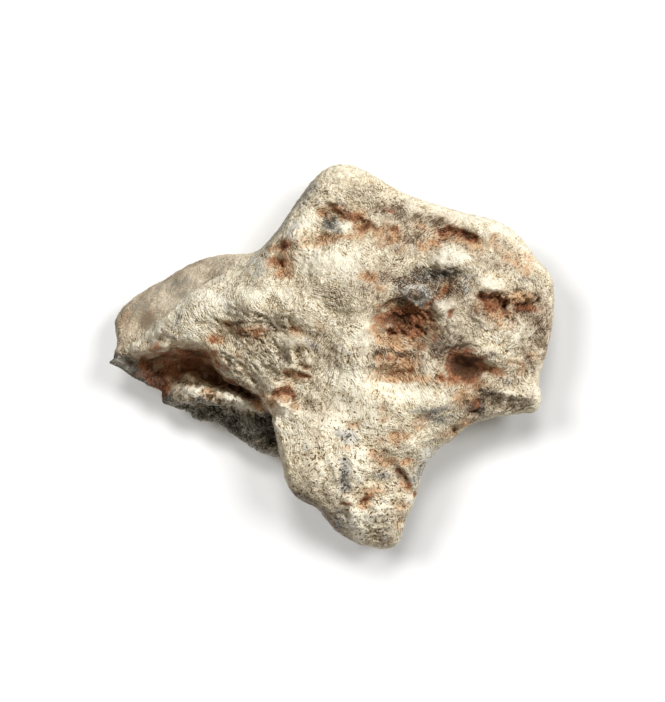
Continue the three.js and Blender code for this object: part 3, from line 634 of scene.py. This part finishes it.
# where each colour lies: x, y, half-length, half-width, turn, strength, in mm and degrees as above
stonePaint = {
    "clay": [
        (-4.2, 9.6, 0.9, 0.7, 0, 0.9), (-4.6, 8.3, 0.9, 0.6, 0, 0.9), (-4.3, 7.4, 0.9, 0.6, 0, 0.85),
        (-2.9, 9.9, 0.7, 0.3, 10, 0.5), (-0.9, 13.1, 0.9, 0.5, -45, 0.7), (0.3, 13.2, 1.2, 0.4, -45, 0.6),
        (-0.7, 10.4, 1.6, 0.5, 5, 0.85), (1.5, 10.5, 0.8, 0.3, 20, 0.5), (2.0, 12.6, 1.2, 0.6, -20, 0.75),
        (2.7, 11.5, 1.1, 0.6, 35, 0.85), (4.9, 10.8, 1.1, 0.9, -10, 0.75), (5.9, 9.3, 0.5, 0.5, 0, 0.4),
        (3.2, 7.1, 0.65, 0.5, 0, 0.8), (4.2, 5.9, 0.6, 0.4, 0, 0.35), (8.6, 10.0, 0.9, 0.6, 20, 0.7),
        (11.2, 10.6, 2.6, 0.45, -15, 0.75), (12.9, 9.7, 0.7, 0.5, 0, 0.6), (14.7, 10.5, 0.4, 0.4, 0, 0.6),
        (16.7, 8.9, 1.2, 0.6, 0, 0.6), (17.2, 8.0, 0.8, 0.6, 0, 0.4), (15.9, 10.2, 0.6, 0.4, 0, 0.3),
        (5.2, 1.9, 1.6, 0.9, -25, 1.0), (4.4, 2.7, 0.6, 0.9, 0, 0.8), (6.6, 2.9, 2.1, 1.7, -10, 0.9),
        (8.5, 3.6, 0.6, 1.2, 0, 0.8), (6.3, 1.4, 1.4, 0.5, -10, 0.9), (7.8, 1.2, 0.5, 0.5, 0, 0.7),
        (9.4, 5.5, 1.2, 0.4, 35, 0.4), (5.7, -0.9, 1.7, 0.9, 0, 0.85), (6.0, -2.0, 2.0, 0.3, -3, 0.7),
        (4.4, -0.1, 0.8, 0.4, 0, 0.7), (4.0, -1.6, 0.3, 1.0, 0, 0.35), (8.0, -2.1, 0.9, 0.4, -10, 0.6),
        (9.8, -1.9, 0.7, 0.5, 0, 0.7), (12.2, -1.9, 1.3, 0.45, -5, 0.7), (13.9, -1.2, 1.2, 0.4, -8, 0.9),
        (11.6, -2.3, 1.7, 0.5, -8, 0.85), (11.4, -3.3, 0.6, 0.9, 0, 0.6), (12.4, -3.3, 0.8, 0.7, 0, 0.45),
        (14.3, 4.6, 1.0, 0.9, 0, 1.0), (16.4, 5.2, 1.6, 0.6, -5, 0.75), (15.3, 3.9, 1.2, 0.3, 0, 0.4),
        (14.9, 2.9, 1.0, 0.4, 0, 0.3), (16.6, -0.6, 1.0, 0.7, 0, 0.35), (18.4, 0.2, 0.6, 0.5, 0, 0.3),
        (-7.2, 2.3, 1.9, 0.6, -5, 0.4), (-9.4, 2.8, 0.6, 0.4, 0, 0.5), (-3.1, 2.45, 0.7, 0.4, -30, 0.85),
        (-10.2, 1.7, 0.8, 0.45, 0, 0.75), (-3.0, -1.6, 1.2, 0.35, -10, 0.7), (-3.4, -2.2, 1.2, 0.3, 10, 0.3),
        (-3.9, -3.4, 1.0, 0.6, -45, 0.75), (-3.4, -4.3, 0.5, 0.4, 0, 0.9), (-5.0, -3.4, 0.7, 0.4, 20, 0.7),
        (-5.5, -4.2, 0.6, 0.6, 0, 0.7), (-8.0, -2.6, 2.2, 0.35, -25, 0.5), (-8.3, 0.0, 0.7, 0.3, -40, 0.3),
        (-8.0, -1.1, 0.6, 0.3, -40, 0.4), (-0.8, 2.8, 0.6, 0.5, 0, 0.3), (-10.8, -0.4, 0.9, 1.2, 30, 0.7),
        (-13.4, -0.7, 2.9, 1.2, -5, 0.9), (-10.7, -3.3, 0.9, 0.4, -20, 0.9), (-6.5, -4.4, 0.6, 0.3, -30, 0.7),
        (-16.4, 3.7, 1.2, 0.6, 40, 0.3), (-18.9, 3.4, 0.9, 0.5, 60, 0.3), (1.9, -5.9, 0.6, 0.35, 0, 0.75),
        (1.0, -8.1, 0.7, 0.35, 0, 0.35), (4.5, -5.0, 0.5, 0.6, 0, 0.6), (6.0, -7.1, 1.0, 0.6, 20, 0.65),
        (7.6, -5.8, 1.0, 0.6, 30, 0.5), (4.4, -8.7, 1.0, 1.0, 0, 0.6), (5.2, -9.0, 0.8, 0.5, -40, 0.8),
        (6.6, -9.3, 0.7, 0.4, 0, 0.6), (6.6, -11.6, 0.8, 0.4, -45, 0.5), (3.6, -11.9, 1.9, 0.5, 12, 0.5),
        (2.8, -13.1, 0.5, 0.4, 10, 0.7), (6.3, -13.3, 0.45, 0.4, 0, 0.6), (6.0, -14.7, 0.5, 0.7, 0, 0.4),
        (10.4, -6.9, 0.9, 0.4, 15, 0.7), (12.0, -5.8, 0.9, 0.5, 30, 0.5), (-1.2, -6.3, 0.9, 1.6, 0, 0.2),
    ],
    # dark red-brown stain; its strongest ovals, in the pit cores and the recess under the lip, are painted
    # shade as well
    "russet": [
        (-4.2, 9.9, 0.7, 0.35, 0, 0.9), (-4.7, 8.5, 0.5, 0.35, 0, 0.9), (2.9, 11.6, 0.7, 0.3, 30, 0.8),
        (1.9, 12.6, 0.9, 0.25, -20, 0.7), (3.3, 7.1, 0.4, 0.3, 0, 0.5), (6.3, 3.3, 1.8, 1.1, -5, 1.3),
        (7.6, 2.5, 1.2, 0.6, -35, 0.9), (8.6, 2.7, 0.35, 0.8, 0, 0.8), (5.0, 2.3, 0.3, 0.25, 0, 0.9),
        (7.4, 3.9, 1.2, 0.4, 0, 0.8), (8.0, 1.0, 0.3, 0.5, 0, 0.7), (4.7, 0.0, 0.6, 0.25, -15, 0.8),
        (5.3, -1.4, 0.35, 0.25, 0, 0.8), (4.4, -1.0, 0.25, 0.4, 0, 0.5), (6.9, -1.2, 0.3, 0.2, 0, 0.5),
        (11.9, -0.7, 1.5, 1.1, -12, 1.0), (11.9, -0.8, 1.3, 1.0, -12, 3.0), (13.8, -1.2, 1.1, 0.28, -8, 0.9),
        (14.3, 4.7, 0.7, 0.55, 0, 1.8), (13.8, 5.4, 0.6, 0.25, -5, 1.8), (15.3, 4.4, 0.3, 0.5, 0, 1.3),
        (17.2, 4.4, 1.0, 0.35, -5, 1.0), (-10.4, 1.6, 0.35, 0.25, 0, 0.9), (-3.3, 2.5, 0.4, 0.2, -30, 0.6),
        (-10.6, -1.3, 0.9, 0.8, -30, 0.9), (-12.2, 0.3, 2.0, 0.5, -8, 0.8), (-14.4, -0.5, 2.8, 1.0, -5, 0.9),
        (-16.2, -0.8, 1.0, 0.8, 0, 0.9), (-15.9, -2.1, 1.0, 0.45, -28, 2.2), (-15.5, -3.0, 0.4, 0.6, 30, 1.8),
        (-14.4, -1.6, 1.2, 0.5, 0, 0.7), (12.8, -4.3, 0.4, 0.6, -10, 0.8), (11.0, -6.5, 0.3, 0.25, 0, 0.8),
    ],
    "grey": [
        # blue-grey clasts and dark matrix; the dark grey below the nose, in the dish beside it, on the wing's
        # point and down the ledge's front is painted shade as well
        (0.0, 11.8, 1.0, 0.5, -55, 2.0), (-3.1, 11.6, 1.3, 1.0, 20, 0.35), (-6.3, 8.4, 0.9, 1.2, 0, 0.5),
        (1.0, 13.6, 0.8, 0.4, -20, 0.35), (7.5, 5.0, 1.4, 1.0, -20, 1.7), (9.7, 7.4, 1.3, 0.4, 0, 1.3),
        (7.8, 6.9, 1.8, 0.8, 12, 0.45), (12.0, 6.7, 0.8, 1.0, 0, 0.55), (9.6, 1.2, 1.7, 0.7, -5, 0.4),
        (3.6, 0.9, 0.4, 0.4, 0, 0.5), (3.9, 0.1, 0.5, 0.3, 0, 0.4), (8.3, -0.3, 0.4, 0.25, -30, 0.4),
        (14.0, -0.2, 1.0, 0.5, -15, 0.45), (15.7, -2.2, 1.0, 0.8, 0, 0.4), (13.6, -3.0, 1.0, 0.6, 0, 0.35),
        (13.0, -4.7, 0.5, 0.9, 0, 0.6), (17.2, 7.0, 1.6, 0.7, -20, 0.3), (-13.8, 6.7, 1.0, 0.5, 30, 0.65),
        (-16.6, 4.9, 2.2, 0.7, 42, 0.35), (-19.2, -0.7, 1.6, 0.7, -15, 1.8),
        (-18.0, -1.5, 2.0, 0.55, -18, 1.6), (-17.8, -0.9, 0.6, 1.0, 15, 1.0), (-16.5, 0.8, 1.5, 0.5, 5, 0.45),
        (-14.5, 1.6, 1.5, 0.3, 0, 0.3), (-13.8, 3.5, 0.3, 0.9, -15, 0.7), (-4.6, 0.1, 0.6, 0.5, 0, 0.4),
        (-1.8, 0.9, 0.8, 1.6, 10, 0.3), (-1.0, -3.6, 0.5, 0.3, 0, 0.5), (-8.6, -6.5, 3.6, 1.15, -34, 1.8),
        (-6.4, -6.6, 1.5, 1.8, 15, 1.8), (-12.6, -5.3, 2.8, 0.8, -15, 1.5), (-15.0, -4.0, 0.6, 0.6, 0, 1.2),
        (-13.2, -3.4, 0.5, 0.4, 0, 0.3), (1.2, -6.7, 0.7, 0.6, 0, 1.1), (2.2, -7.6, 0.5, 0.6, 0, 0.3),
        (-2.7, -8.3, 0.9, 0.6, 0, 0.4), (4.4, -10.4, 0.9, 0.6, 0, 0.55), (0.7, -14.7, 0.8, 1.2, -10, 0.55),
        (8.3, -9.5, 2.3, 0.8, 64, 0.8), (9.5, -5.0, 1.7, 0.8, 0, 0.7), (8.8, -7.2, 0.6, 0.5, 0, 0.3),
        (5.4, -15.8, 0.9, 1.2, 0, 0.25), (3.3, 2.0, 0.5, 0.5, 0, 0.3),
    ],
    # white crust, and painted highlight on slopes facing away from the key light, such as the wing's bulge
    # and the tongue's left side
    "chalk": [
        (-0.4, 8.3, 2.4, 1.3, 0, 1.0), (-3.2, 11.5, 1.3, 1.0, 0, 0.5), (-6.5, 8.0, 0.8, 1.0, 0, 0.6),
        (1.2, 11.5, 0.7, 0.5, 0, 1.0), (10.4, 8.9, 1.9, 0.7, 8, 1.0), (11.5, 10.2, 1.2, 0.25, -12, 0.6),
        (14.0, 6.3, 1.2, 0.3, -12, 1.0), (12.9, 3.4, 0.8, 0.25, -50, 1.0), (14.2, 3.7, 0.5, 0.15, 5, 0.6),
        (9.8, 4.5, 0.9, 0.55, -10, 0.9), (2.8, 1.8, 1.3, 1.2, 0, 0.9), (5.9, 0.7, 0.7, 0.25, 5, 0.5),
        (1.2, -1.4, 2.0, 0.9, 0, 0.9), (-4.2, -4.9, 0.7, 0.8, 0, 0.9), (8.7, -0.9, 0.9, 0.6, -20, 0.7),
        (7.0, -3.1, 4.2, 0.8, -6, 0.8), (2.0, -1.5, 1.6, 1.0, 0, 0.6), (10.2, 2.9, 1.0, 0.7, 0, 0.4),
        (18.6, -3.6, 0.5, 1.4, 0, 0.9), (18.6, -0.6, 0.5, 1.3, 10, 0.7), (9.0, 13.2, 5.0, 0.7, -16, 0.7),
        (17.4, 9.4, 1.5, 0.5, -50, 0.6), (19.2, 5.0, 0.5, 2.0, 15, 0.4), (1.2, 16.6, 1.6, 0.6, -10, 0.4),
        (-3.6, 1.5, 1.3, 0.4, -10, 0.25), (-6.0, -1.4, 1.6, 0.6, -45, 0.5), (-1.8, -3.2, 1.0, 0.5, -30, 0.5),
        (-3.6, -6.2, 1.2, 1.4, 10, 0.5), (0.0, -6.0, 2.6, 2.4, 0, 0.6), (2.2, -9.2, 1.0, 1.1, 0, 1.0),
        (2.4, -15.0, 0.9, 1.4, 0, 0.9), (3.9, -13.4, 1.3, 0.5, 10, 0.5), (7.0, -12.6, 0.4, 0.6, 0, 0.7),
        (8.6, -8.6, 1.2, 0.5, 60, 0.7), (-11.6, 4.2, 2.4, 1.2, 40, 0.9), (-7.0, 5.6, 2.6, 1.2, 10, 0.6),
        (-15.8, 2.4, 1.6, 0.6, 42, 0.8), (-10.4, 6.4, 1.4, 0.7, 30, 0.6), (-12.9, -3.3, 1.3, 0.5, -5, 0.3),
        (-10.8, 3.6, 2.6, 1.4, 30, 0.9), (-9.6, 2.0, 0.7, 0.3, 0, 0.6),
    ],
    "pitted": [
        (1.0, -9.5, 6.0, 4.6, -80, 1.0), (3.0, -15.0, 4.0, 3.0, 0, 1.0), (15.6, -4.0, 3.4, 1.4, 0, 0.6),
        (-6.0, 0.4, 3.4, 2.4, -20, 0.5),
    ],
    # brown stain and painted shade: soft darkening on slopes facing away from the key light, on pit walls,
    # under rims and along the lower outlines
    "umber": [
        (1.5, 13.5, 3.4, 0.7, -8, 0.6), (-1.4, 14.6, 1.3, 0.7, 30, 0.5), (6.8, 12.9, 2.8, 0.9, -10, 0.6),
        (8.8, 12.1, 2.6, 0.8, -8, 1.3), (7.4, 10.6, 2.6, 1.6, 0, 1.3), (5.6, 12.9, 2.6, 1.2, -15, 1.1),
        (11.0, 10.4, 2.2, 0.7, -15, 1.2), (3.0, 14.3, 2.6, 0.8, -20, 0.7), (14.2, 10.2, 1.2, 0.8, -40, 0.6),
        (15.4, 9.3, 1.4, 0.9, -30, 0.5), (14.4, 8.3, 1.9, 0.8, 0, 1.1), (16.6, 7.0, 1.8, 0.7, -20, 0.5),
        (4.2, 7.2, 2.0, 1.6, 0, 1.0), (11.9, -0.7, 1.4, 1.1, -12, 1.6), (6.6, 3.4, 1.6, 0.8, -10, 1.0),
        (7.4, 6.5, 2.2, 1.2, 5, 1.5), (10.2, 5.9, 1.9, 1.0, 0, 2.0), (9.0, 6.2, 1.3, 0.9, 0, 1.8),
        (12.0, 5.8, 1.0, 1.2, 0, 1.0), (12.9, 3.9, 1.0, 1.3, 0, 1.5), (11.2, 3.6, 1.0, 1.2, 0, 0.8),
        (3.2, 6.2, 1.6, 1.0, 0, 0.9), (9.8, 5.5, 1.8, 0.6, 20, 0.9), (11.4, 4.9, 1.0, 0.8, 0, 0.7),
        (5.8, 5.4, 1.9, 1.0, -20, 0.9), (8.9, 3.0, 0.9, 1.6, 0, 0.8), (9.4, 1.0, 2.4, 1.3, -5, 1.5),
        (7.4, 0.2, 1.8, 1.0, 0, 1.3), (12.0, 0.7, 1.6, 0.6, 0, 0.5), (12.6, 3.4, 1.0, 1.8, 0, 1.0),
        (14.8, 3.8, 2.2, 0.8, 0, 1.4), (16.6, 4.3, 2.8, 1.6, -5, 1.4), (18.8, 3.4, 1.4, 2.6, 12, 1.3),
        (18.2, 0.4, 1.6, 1.8, 0, 1.4), (15.6, -1.7, 2.0, 0.8, -10, 0.7), (5.6, 0.0, 2.2, 0.9, 0, 1.7),
        (-1.0, -2.4, 1.2, 0.7, 0, 0.5), (5.6, -10.4, 1.2, 1.0, 0, 0.8), (-2.8, -8.6, 1.2, 1.8, 10, 0.4),
        (-1.5, -11.8, 2.4, 0.9, -25, 0.7), (-2.6, -10.6, 1.2, 1.6, 10, 0.5), (5.6, -14.2, 1.2, 1.0, 0, 0.6),
        (5.0, -16.0, 1.2, 1.0, 0, 0.7), (-18.8, 0.8, 1.0, 1.2, 0, 0.5), (-0.2, 0.2, 1.4, 1.2, 0, 0.7),
        (3.2, 0.4, 1.2, 0.8, 0, 0.8), (-2.8, 10.2, 1.0, 0.8, 0, 0.6), (-6.6, 7.2, 1.2, 1.2, 0, 0.6),
        (16.8, 6.2, 1.2, 0.6, -20, 0.8), (10.0, -1.7, 1.6, 1.1, 0, 1.2), (11.6, -2.8, 1.8, 1.0, -10, 0.6),
        (15.4, -4.1, 2.9, 1.0, 2, 1.0), (14.0, -2.8, 1.4, 0.7, 0, 0.6), (12.9, -3.8, 1.6, 1.3, 0, 1.6),
        (0.6, 5.4, 3.4, 1.6, -10, 0.55), (3.8, 4.8, 1.4, 1.2, 0, 0.6), (2.6, 9.7, 2.0, 0.8, 0, 0.4),
        (-1.6, 4.0, 2.4, 1.0, -20, 0.3), (-6.6, 2.5, 2.0, 1.0, 0, 0.9), (-4.2, 2.8, 1.0, 0.5, 0, 0.5),
        (-1.4, -4.1, 1.8, 0.9, 0, 1.1), (-4.2, 0.2, 0.8, 0.7, 0, 0.9), (-8.4, -2.0, 2.4, 0.6, -30, 0.6),
        (-6.4, 0.6, 2.6, 1.3, -20, 0.5), (-2.0, 0.8, 1.4, 1.8, 0, 0.8), (-5.2, -2.6, 1.0, 0.7, 0, 0.5),
        (-2.4, -12.2, 2.4, 0.7, -30, 0.6), (-3.9, -9.4, 0.5, 2.2, 10, 0.4), (1.0, -10.6, 0.5, 2.0, 0, 0.6),
        (0.5, -14.8, 0.8, 1.3, -10, 0.8), (6.2, -7.4, 1.6, 1.4, 0, 0.4), (5.6, -10.8, 1.2, 0.8, -40, 0.4),
        (-16.4, -2.0, 2.4, 0.9, -25, 2.0), (-15.4, -2.9, 0.7, 0.9, 30, 2.0),
        (-2.0, -12.9, 2.2, 0.5, -28, 1.2), (-0.2, -14.7, 0.6, 1.5, 25, 1.2), (-16.6, 0.7, 1.4, 0.4, 5, 0.7),
        (-19.2, 3.0, 1.0, 1.8, -30, 1.4), (-14.5, 7.4, 4.5, 0.7, 33, 1.0), (-11.2, 7.2, 1.8, 0.8, 30, 0.9),
    ],
}

# the same along lines: half-width, strength and corners
stoneStreaks = {
    # dark seams; the streaks under the upper rim, along the slot over the ledge and down the tongue's
    # lower-left edge are painted shade
    "russet": [
        (0.25, 0.5, peakGutter),
        (0.25, 0.5, rimGutter),
        (0.2, 0.6, [(3.4, 13.5), (4.6, 13.2), (5.7, 12.7)]),
        (0.35, 1.2, [(9.2, 10.9), (9.8, 11.2), (10.6, 11.3), (11.5, 11.1), (12.4, 10.8), (13.0, 10.3)]),
        (0.2, 0.6, trenchSeam),
        (0.22, 1.1, pitGutter),
        (0.16, 0.9, bridgeCrack),
        (0.18, 0.9, shelfCrack),
        (0.25, 1.3, rootSeam),
        (0.15, 0.7, foldCrack),
        (0.15, 0.6, [(-2.9, -0.5), (-2.6, -1.0), (-1.5, -1.0)]),
        (0.3, 0.3, [(-8.4, 2.1), (-7.4, 1.9), (-6.3, 2.3), (-5.3, 2.5)]),
        (0.15, 0.6, saddleCrack),
        (0.45, 1.1, [(-12.0, -1.9), (-10.4, -2.2), (-9.3, -2.5), (-8.2, -2.9), (-7.2, -3.4), (-6.0, -3.9)]),
        (0.18, 0.9, tongueCrack),
        (0.15, 0.7, tipSeam),
        (0.3, 0.25, tongueEdge),
    ],
    "grey": [
        # the first streak, down the upper-left facet, and the one along the tongue's lower-left edge are
        # painted shade
        (0.45, 0.5, [(-7.2, 8.6), (-6.0, 9.9), (-4.6, 11.5), (-3.4, 13.3), (-2.0, 15.0), (-1.2, 16.2)]),
        (0.4, 0.9, tongueFurrow),
        (0.35, 0.7, tongueEdge),
        (0.15, 0.6, [(1.5, -13.8), (1.7, -16.0)]),
        (0.15, 0.8, wingCrack),
        (0.12, 0.5, [(-14.6, 4.1), (-13.5, 4.9), (-12.4, 5.5)]),
    ],
    "chalk": [
        # painted highlight along edges facing the key light: the lip's brink, the wing's ridge, the dark
        # pebble's upper rim and the ledge's top
        (0.2, 1.0, [(-18.9, 0.4), (-18.0, 0.9), (-17.2, 1.4), (-16.4, 1.7), (-15.5, 2.0), (-14.6, 2.1)]),
        (0.25, 0.8, [(-9.4, 7.4), (-11.0, 6.3), (-12.5, 5.7), (-13.3, 4.9), (-15.0, 3.2), (-17.0, 1.8)]),
        (0.2, 0.6, [(6.3, 5.9), (7.2, 6.15), (8.0, 5.95), (8.6, 5.3)]),
        (0.4, 0.8, [(-14.0, -3.2), (-12.5, -2.9), (-11.0, -3.1), (-9.0, -3.7), (-7.0, -4.6), (-5.9, -5.1)]),
    ],
}


paintLimits = {
    "heights": (2.0, 6.0),  # where on the sides the colours start, and are whole
    "squareness": 2.2,
    "besideTongue": (-4.0, -7.2, 3.6, 1.3, -78),  # here grey and the brown stain and shade stop at the tongue's brink
    "brink": (-0.1, 0.1),
    "farWing": (-14.5, 5.5, 9, 5, 38),
    "ridge": (0.0, 0.4),
}


def paint(points):
    above = points.facing("painted") * smoothStep(points.at[:, 2], *paintLimits["heights"])
    onTongue = smoothStep(points.line(tongueBrink)[0], *paintLimits["brink"])
    clean = 1 - points.bell(paintLimits["besideTongue"], squareness=4) * onTongue
    for name, ovals in stonePaint.items():
        amount = points.strongest(ovals, paintLimits["squareness"]) * points.uneven
        for halfWidth, strength, corners in stoneStreaks.get(name, []):
            offset, taper = points.line(corners)
            broken = points.broken if halfWidth < thinLine else points.uneven
            amount = np.maximum(amount, strength * broken * taper * np.exp2(-((offset / halfWidth) ** 2)))
        if name in ("grey", "umber"):
            amount *= clean
        points.note(name, amount * above)
    points.note("worn", worn(points))
    behind = smoothStep(-points.line(wingRidge)[0], *paintLimits["ridge"])
    points.note("wing", behind * points.bell(paintLimits["farWing"], squareness=6) * above)


class Wire:  # a socket of a material, with arithmetic that adds Math nodes
    def __init__(self, tree, socket=None):
        self.tree = tree
        self.socket = socket

    def node(self, kind, settings, sockets, output=0):
        made = self.tree.nodes.new(kind)
        for name, value in settings.items():
            if name == "stops":
                stops = made.color_ramp.elements
                while len(stops) < len(value):
                    stops.new(0.5)
                for stop, (place, colour) in zip(stops, value):
                    stop.position = place
                    stop.color = (*colour, 1)
            else:
                setattr(made, name, value)
        for name, value in sockets.items():
            if isinstance(value, Wire):
                self.tree.links.new(value.socket, made.inputs[name])
            else:
                made.inputs[name].default_value = value
        return Wire(self.tree, made.outputs[output])

    def maths(self, operation, a, b):
        return self.node("ShaderNodeMath", {"operation": operation}, {0: a, 1: b})

    def __add__(self, other):
        return self.maths("ADD", self, other)

    def __sub__(self, other):
        return self.maths("SUBTRACT", self, other)

    def __rsub__(self, other):
        return self.maths("SUBTRACT", other, self)

    def __mul__(self, other):
        return self.maths("MULTIPLY", self, other)

    __radd__ = __add__
    __rmul__ = __mul__

    def between(self, low, high):  # 0 below low, 1 above high
        settings = {"interpolation_type": "SMOOTHSTEP"}
        return self.node("ShaderNodeMapRange", settings, {"Value": self, "From Min": low, "From Max": high})


def attribute(start, name):
    return start.node("ShaderNodeAttribute", {"attribute_name": name}, {}, output=2)


def cloudy(place, size, detail=2.0, roughness=0.6, distortion=0.0, output=0):  # size in mm
    sockets = {"Vector": place, "Scale": 1 / (size * mm), "Detail": detail, "Roughness": roughness}
    sockets["Distortion"] = distortion
    return place.node("ShaderNodeTexNoise", {}, sockets, output)


def mixed(amount, first, second):  # colours
    settings = {"data_type": "RGBA"}
    return amount.node("ShaderNodeMix", settings, {0: amount, 6: first, 7: second}, output=2)


def swept(place, size, reach):  # the same place, pushed about in broad swirls
    push = cloudy(place, size, 1.0, 0.5, output=1)
    push = place.node("ShaderNodeVectorMath", {"operation": "SCALE"}, {0: push, 3: reach * mm})
    return place.node("ShaderNodeVectorMath", {"operation": "ADD"}, {0: place, 1: push})


def strands(place, turn, width, length):  # fine noise drawn out along one way, sizes in mm
    sockets = {
        "Vector": place,
        "Rotation": (0, 0, math.radians(turn)),
        "Scale": (length * mm, width * mm, width * 2 * mm),
    }
    drawn = place.node("ShaderNodeMapping", {"vector_type": "TEXTURE"}, sockets)
    return cloudy(drawn, 1000, 1.0)  # no smaller, because its place is drawn out already


finishSizes = {  # waves of each pattern, in mm
    "patches": 4.5,
    "warm": 2.6,
    "cool": 3.4,
    "mottle": 1.1,
    "lively": 0.9,
    "grain": 0.11,
    "pores": 0.24,
    "strands": (0.11, 0.45),
    "swirls": (8.0, 6.0),  # and how far they push what lies in them
    "ripples": (1.3, 0.4),
    "bump": 0.16,
}

# how much of what is under it each finish hides
covers = {"rust": 0.4, "ash": 0.5, "umber": 0.9, "wing": 0.85, "grey": 0.9, "clay": 0.9, "russet": 0.9}
deepStainAndShade = (0.8, 1.8)  # strengths at which a stain, and the painted shade laid with it, starts to be darker, and is darkest
dryStone = {"Roughness": 0.93, "Specular IOR Level": 0.2}

# each finish from its darkest grains to its palest
finish = {
    "crust": [(0.15, (0.18, 0.11, 0.05)), (0.38, (0.44, 0.34, 0.205)), (0.58, (0.68, 0.605, 0.435)),
              (0.85, (0.88, 0.84, 0.695))],
    "umber": [(0.15, (0.06, 0.036, 0.019)), (0.38, (0.17, 0.12, 0.075)), (0.58, (0.31, 0.245, 0.17)),
              (0.85, (0.56, 0.48, 0.36))],
    "ash": [(0.15, (0.15, 0.13, 0.095)), (0.4, (0.42, 0.39, 0.3)), (0.65, (0.69, 0.655, 0.54)),
            (0.9, (0.87, 0.85, 0.76))],
    "rust": [(0.1, (0.22, 0.13, 0.07)), (0.5, (0.6, 0.43, 0.26)), (0.9, (0.8, 0.68, 0.47))],
    "wing": [(0.1, (0.21, 0.17, 0.12)), (0.5, (0.52, 0.43, 0.31)), (0.9, (0.74, 0.66, 0.52))],
    "clay": [(0.1, (0.12, 0.045, 0.016)), (0.4, (0.37, 0.195, 0.095)), (0.8, (0.64, 0.43, 0.25))],
    "russet": [(0.15, (0.055, 0.019, 0.007)), (0.5, (0.21, 0.074, 0.03)), (0.9, (0.44, 0.21, 0.11))],
    "grey": [(0.2, (0.03, 0.03, 0.028)), (0.5, (0.16, 0.157, 0.14)), (0.8, (0.56, 0.54, 0.48))],
}


def stoneFinish():
    material = bpy.data.materials.new("weatheredCrust")
    material.use_nodes = True
    tree = material.node_tree
    start = Wire(tree)
    place = start.node("ShaderNodeTexCoord", {}, {}, output=3)
    creases = attribute(start, "creases")
    hollows = attribute(start, "hollows")
    umber = attribute(start, "umber")
    size = finishSizes
    patches = cloudy(place, size["patches"])
    warm = cloudy(place, size["warm"], 3.0, 0.6, 0.5)
    cool = 1 - cloudy(place, size["cool"], 3.0, 0.6, 0.7)
    mottle = cloudy(place, size["mottle"], 4.0, 0.65)
    grain = cloudy(place, size["grain"], 1.0)
    pores = cloudy(place, size["pores"], 1.0, 0.6, 0.5).between(0.3, 0.42)  # 0 in a pore
    pitted = attribute(start, "pitted") * 0.75 + 0.15  # how much the pores show
    flow = swept(swept(place, *size["swirls"]), *size["ripples"])
    lie = (patches * 0.4 + warm * 0.6).between(0.45, 0.55)  # which of two ways the strands run
    hatch = strands(flow, 55, *size["strands"]) * lie + strands(flow, -50, *size["strands"]) * (1 - lie)
    lively = cloudy(place, size["lively"]).between(0.36, 0.62) * 0.6 + 0.7
    rough = (1 - attribute(start, "worn") * 0.75) * lively * (1 - attribute(start, "pitted") * 0.3)
    relief = ((grain - 0.5) * 1.5 + (hatch - 0.5) * 1.8) * rough + (pores - 0.9) * pitted
    relief = relief + (0.5 - creases) * 0.4  # high grains above 0, pores below; painted shade in creases and painted highlight on crests
    ragged = (mottle - 0.5) * 2.2 + relief * 0.3  # what frays the edge of a stain

    def area(name, low=0.08, high=0.85):  # a painted area with a ragged edge
        painted = attribute(start, name)
        return (painted + ragged * painted.between(0.0, 0.2)).between(low, high)

    def spots(waves):  # scattered over the whole stone
        return (waves + ragged * 0.2).between(0.5, 0.8)

    def deep(stain):
        return stain.between(*deepStainAndShade)

    def shades(name, tone):
        return start.node("ShaderNodeValToRGB", {"stops": finish[name]}, {"Fac": tone})

    def laid(name, where, under, tone):  # a finish over what is under it
        return mixed(where * covers[name], under, shades(name, tone))

    # pale: chalk, painted highlight and random patches; the tone is also darker in hollows and paler on
    # rises, as painted shade and highlight
    pale = area("chalk") * 0.28 + (patches - 0.5) * 0.5 + (mottle - 0.5) * 0.4
    tone = relief * 0.8 + pale + 0.59 - (hollows - 0.5) * 0.35
    colour = shades("crust", tone)
    colour = laid("rust", spots(warm), colour, tone)
    colour = laid("ash", spots(cool), colour, tone)
    # brown stain and painted shade, laid more heavily deep in hollows
    stainedAndShaded = umber + (hollows - 0.58).between(0.0, 0.25) * 0.5
    colour = laid("umber", stainedAndShaded, colour, tone - deep(umber) * 0.3)
    smooth = relief * 0.7 + (mottle - 0.5) * 0.5 + pale * 0.5 + 0.66 - umber * 0.2
    # the far side of the wing: pinkish tan, darker than the crust, partly as painted shade for a side that
    # faces away from the key light
    colour = laid("wing", attribute(start, "wing"), colour, smooth)
    # grey clasts, darker still where laid strongest: painted shade on the ledge's front and the wing's point
    dark = relief * 0.8 + pale + 0.5 - deep(attribute(start, "grey")) * 0.3
    colour = laid("grey", area("grey"), colour, dark)
    colour = laid("clay", area("clay", 0.02, 0.75), colour, relief * 0.8 + pale + 0.5)
    # red-brown stain, darker still where it is laid strongest: painted shade in pit cores and in the lip's
    # recess
    pitShade = deep(attribute(start, "russet"))
    dark = relief * 0.7 + (mottle - 0.5) * (1.5 - pitShade) + 0.45 - pitShade * 0.33
    colour = laid("russet", area("russet"), colour, dark)
    height = (grain * 0.6 + hatch * 1.2) * rough + mottle * 0.5 + pores * pitted * 0.5
    sockets = {"Strength": 1.0, "Distance": size["bump"] * mm, "Height": height}
    bump = start.node("ShaderNodeBump", {}, sockets)
    shader = tree.nodes["Principled BSDF"]
    tree.links.new(colour.socket, shader.inputs["Base Color"])
    tree.links.new(bump.socket, shader.inputs["Normal"])
    for name, value in dryStone.items():
        shader.inputs[name].default_value = value
    print("finish:", len(finish), "kinds of crust and clay")
    return material


addCamera()
stone = makeStone()
stone.data.materials.clear()
stone.data.materials.append(stoneFinish())
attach(stone, "root")
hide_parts("meteorite")
addStudio(stone)
